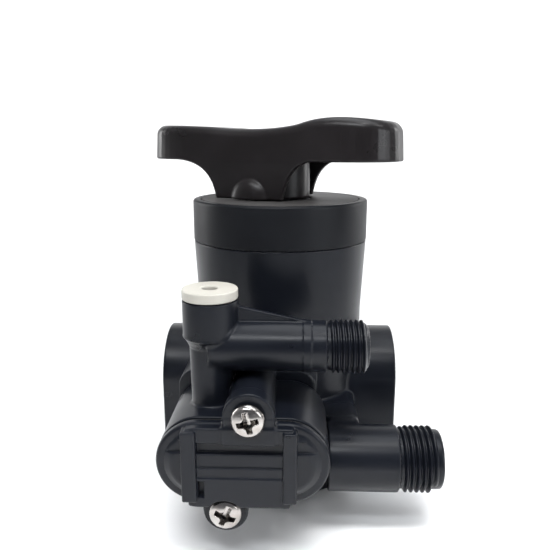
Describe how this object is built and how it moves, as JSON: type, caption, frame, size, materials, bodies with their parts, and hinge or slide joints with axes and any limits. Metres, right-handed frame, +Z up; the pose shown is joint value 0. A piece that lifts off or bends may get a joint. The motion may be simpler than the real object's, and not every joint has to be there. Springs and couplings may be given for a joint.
{
  "type": "manual multiport control valve",
  "caption": "Hand-operated rotary control valve: lever handle over a round cap and body, side ports, front injector module with brine and drain pipe stubs, threaded tank base.",
  "frame": {"origin": "on the valve axis at the underside of the tank thread, where the valve screws into a tank neck", "axes": "+Z up along the valve and handle axis, +X through the side ports towards the drain and brine pipe ends, -Y the front with the injector module"},
  "size_m": [0.1008, 0.1153, 0.1313],
  "materials": {
    "body_plastic": "semi-gloss moulded blue-black",
    "cap_plastic": "semi-gloss moulded black",
    "handle_plastic": "polished moulded warm black",
    "dial_film": "dark printed dial film",
    "white_nylon": "cream white nylon",
    "stainless": "bright stainless",
    "rubber": "matte black rubber",
    "ceramic": "lapped alumina",
    "acetal": "natural acetal"
  },
  "bodies": {
    "valve": {"valve_body": "body_plastic", "cap": "cap_plastic", "dial_plate": "dial_film", "fixed_disc": "ceramic", "disc_seal": "rubber", "spindle_o_ring_lower": "rubber", "spindle_o_ring_upper": "rubber", "cap_o_ring": "rubber", "detent_spring_a": "stainless", "detent_spring_b": "stainless", "base_o_ring": "rubber", "riser_o_ring": "rubber", "injector_body": "body_plastic", "injector_cover": "body_plastic", "cover_gasket": "rubber", "injector_nozzle": "acetal", "injector_throat": "acetal", "injector_o_ring_left": "rubber", "injector_o_ring_right": "rubber", "cover_screw_top": "stainless", "cover_screw_bottom": "stainless", "column_bush": "white_nylon", "drain_flow_washer": "rubber", "brine_flow_button": "rubber"},
    "handle": {"handle": "handle_plastic", "handle_screw": "stainless", "handle_plug": "handle_plastic", "spindle": "body_plastic", "moving_disc": "ceramic", "antifriction_washer": "acetal"},
    "detent_ball_a": {"detent_ball_a": "stainless"},
    "detent_ball_b": {"detent_ball_b": "stainless"}
  },
  "joints": [
    {"name": "handle_turn", "type": "hinge", "parent": "valve", "child": "handle", "pos_m": [0, 0, 0.1], "axis": [0, 0, 1], "range_deg": [0, 240]},
    {"name": "detent_a_drop", "type": "slide", "parent": "valve", "child": "detent_ball_a", "axis": [0, 0, 1], "range_m": [-0.0005, 0], "deforming": ["detent_spring_a"]},
    {"name": "detent_b_drop", "type": "slide", "parent": "valve", "child": "detent_ball_b", "axis": [0, 0, 1], "range_m": [-0.0005, 0], "deforming": ["detent_spring_b"]}
  ]
}
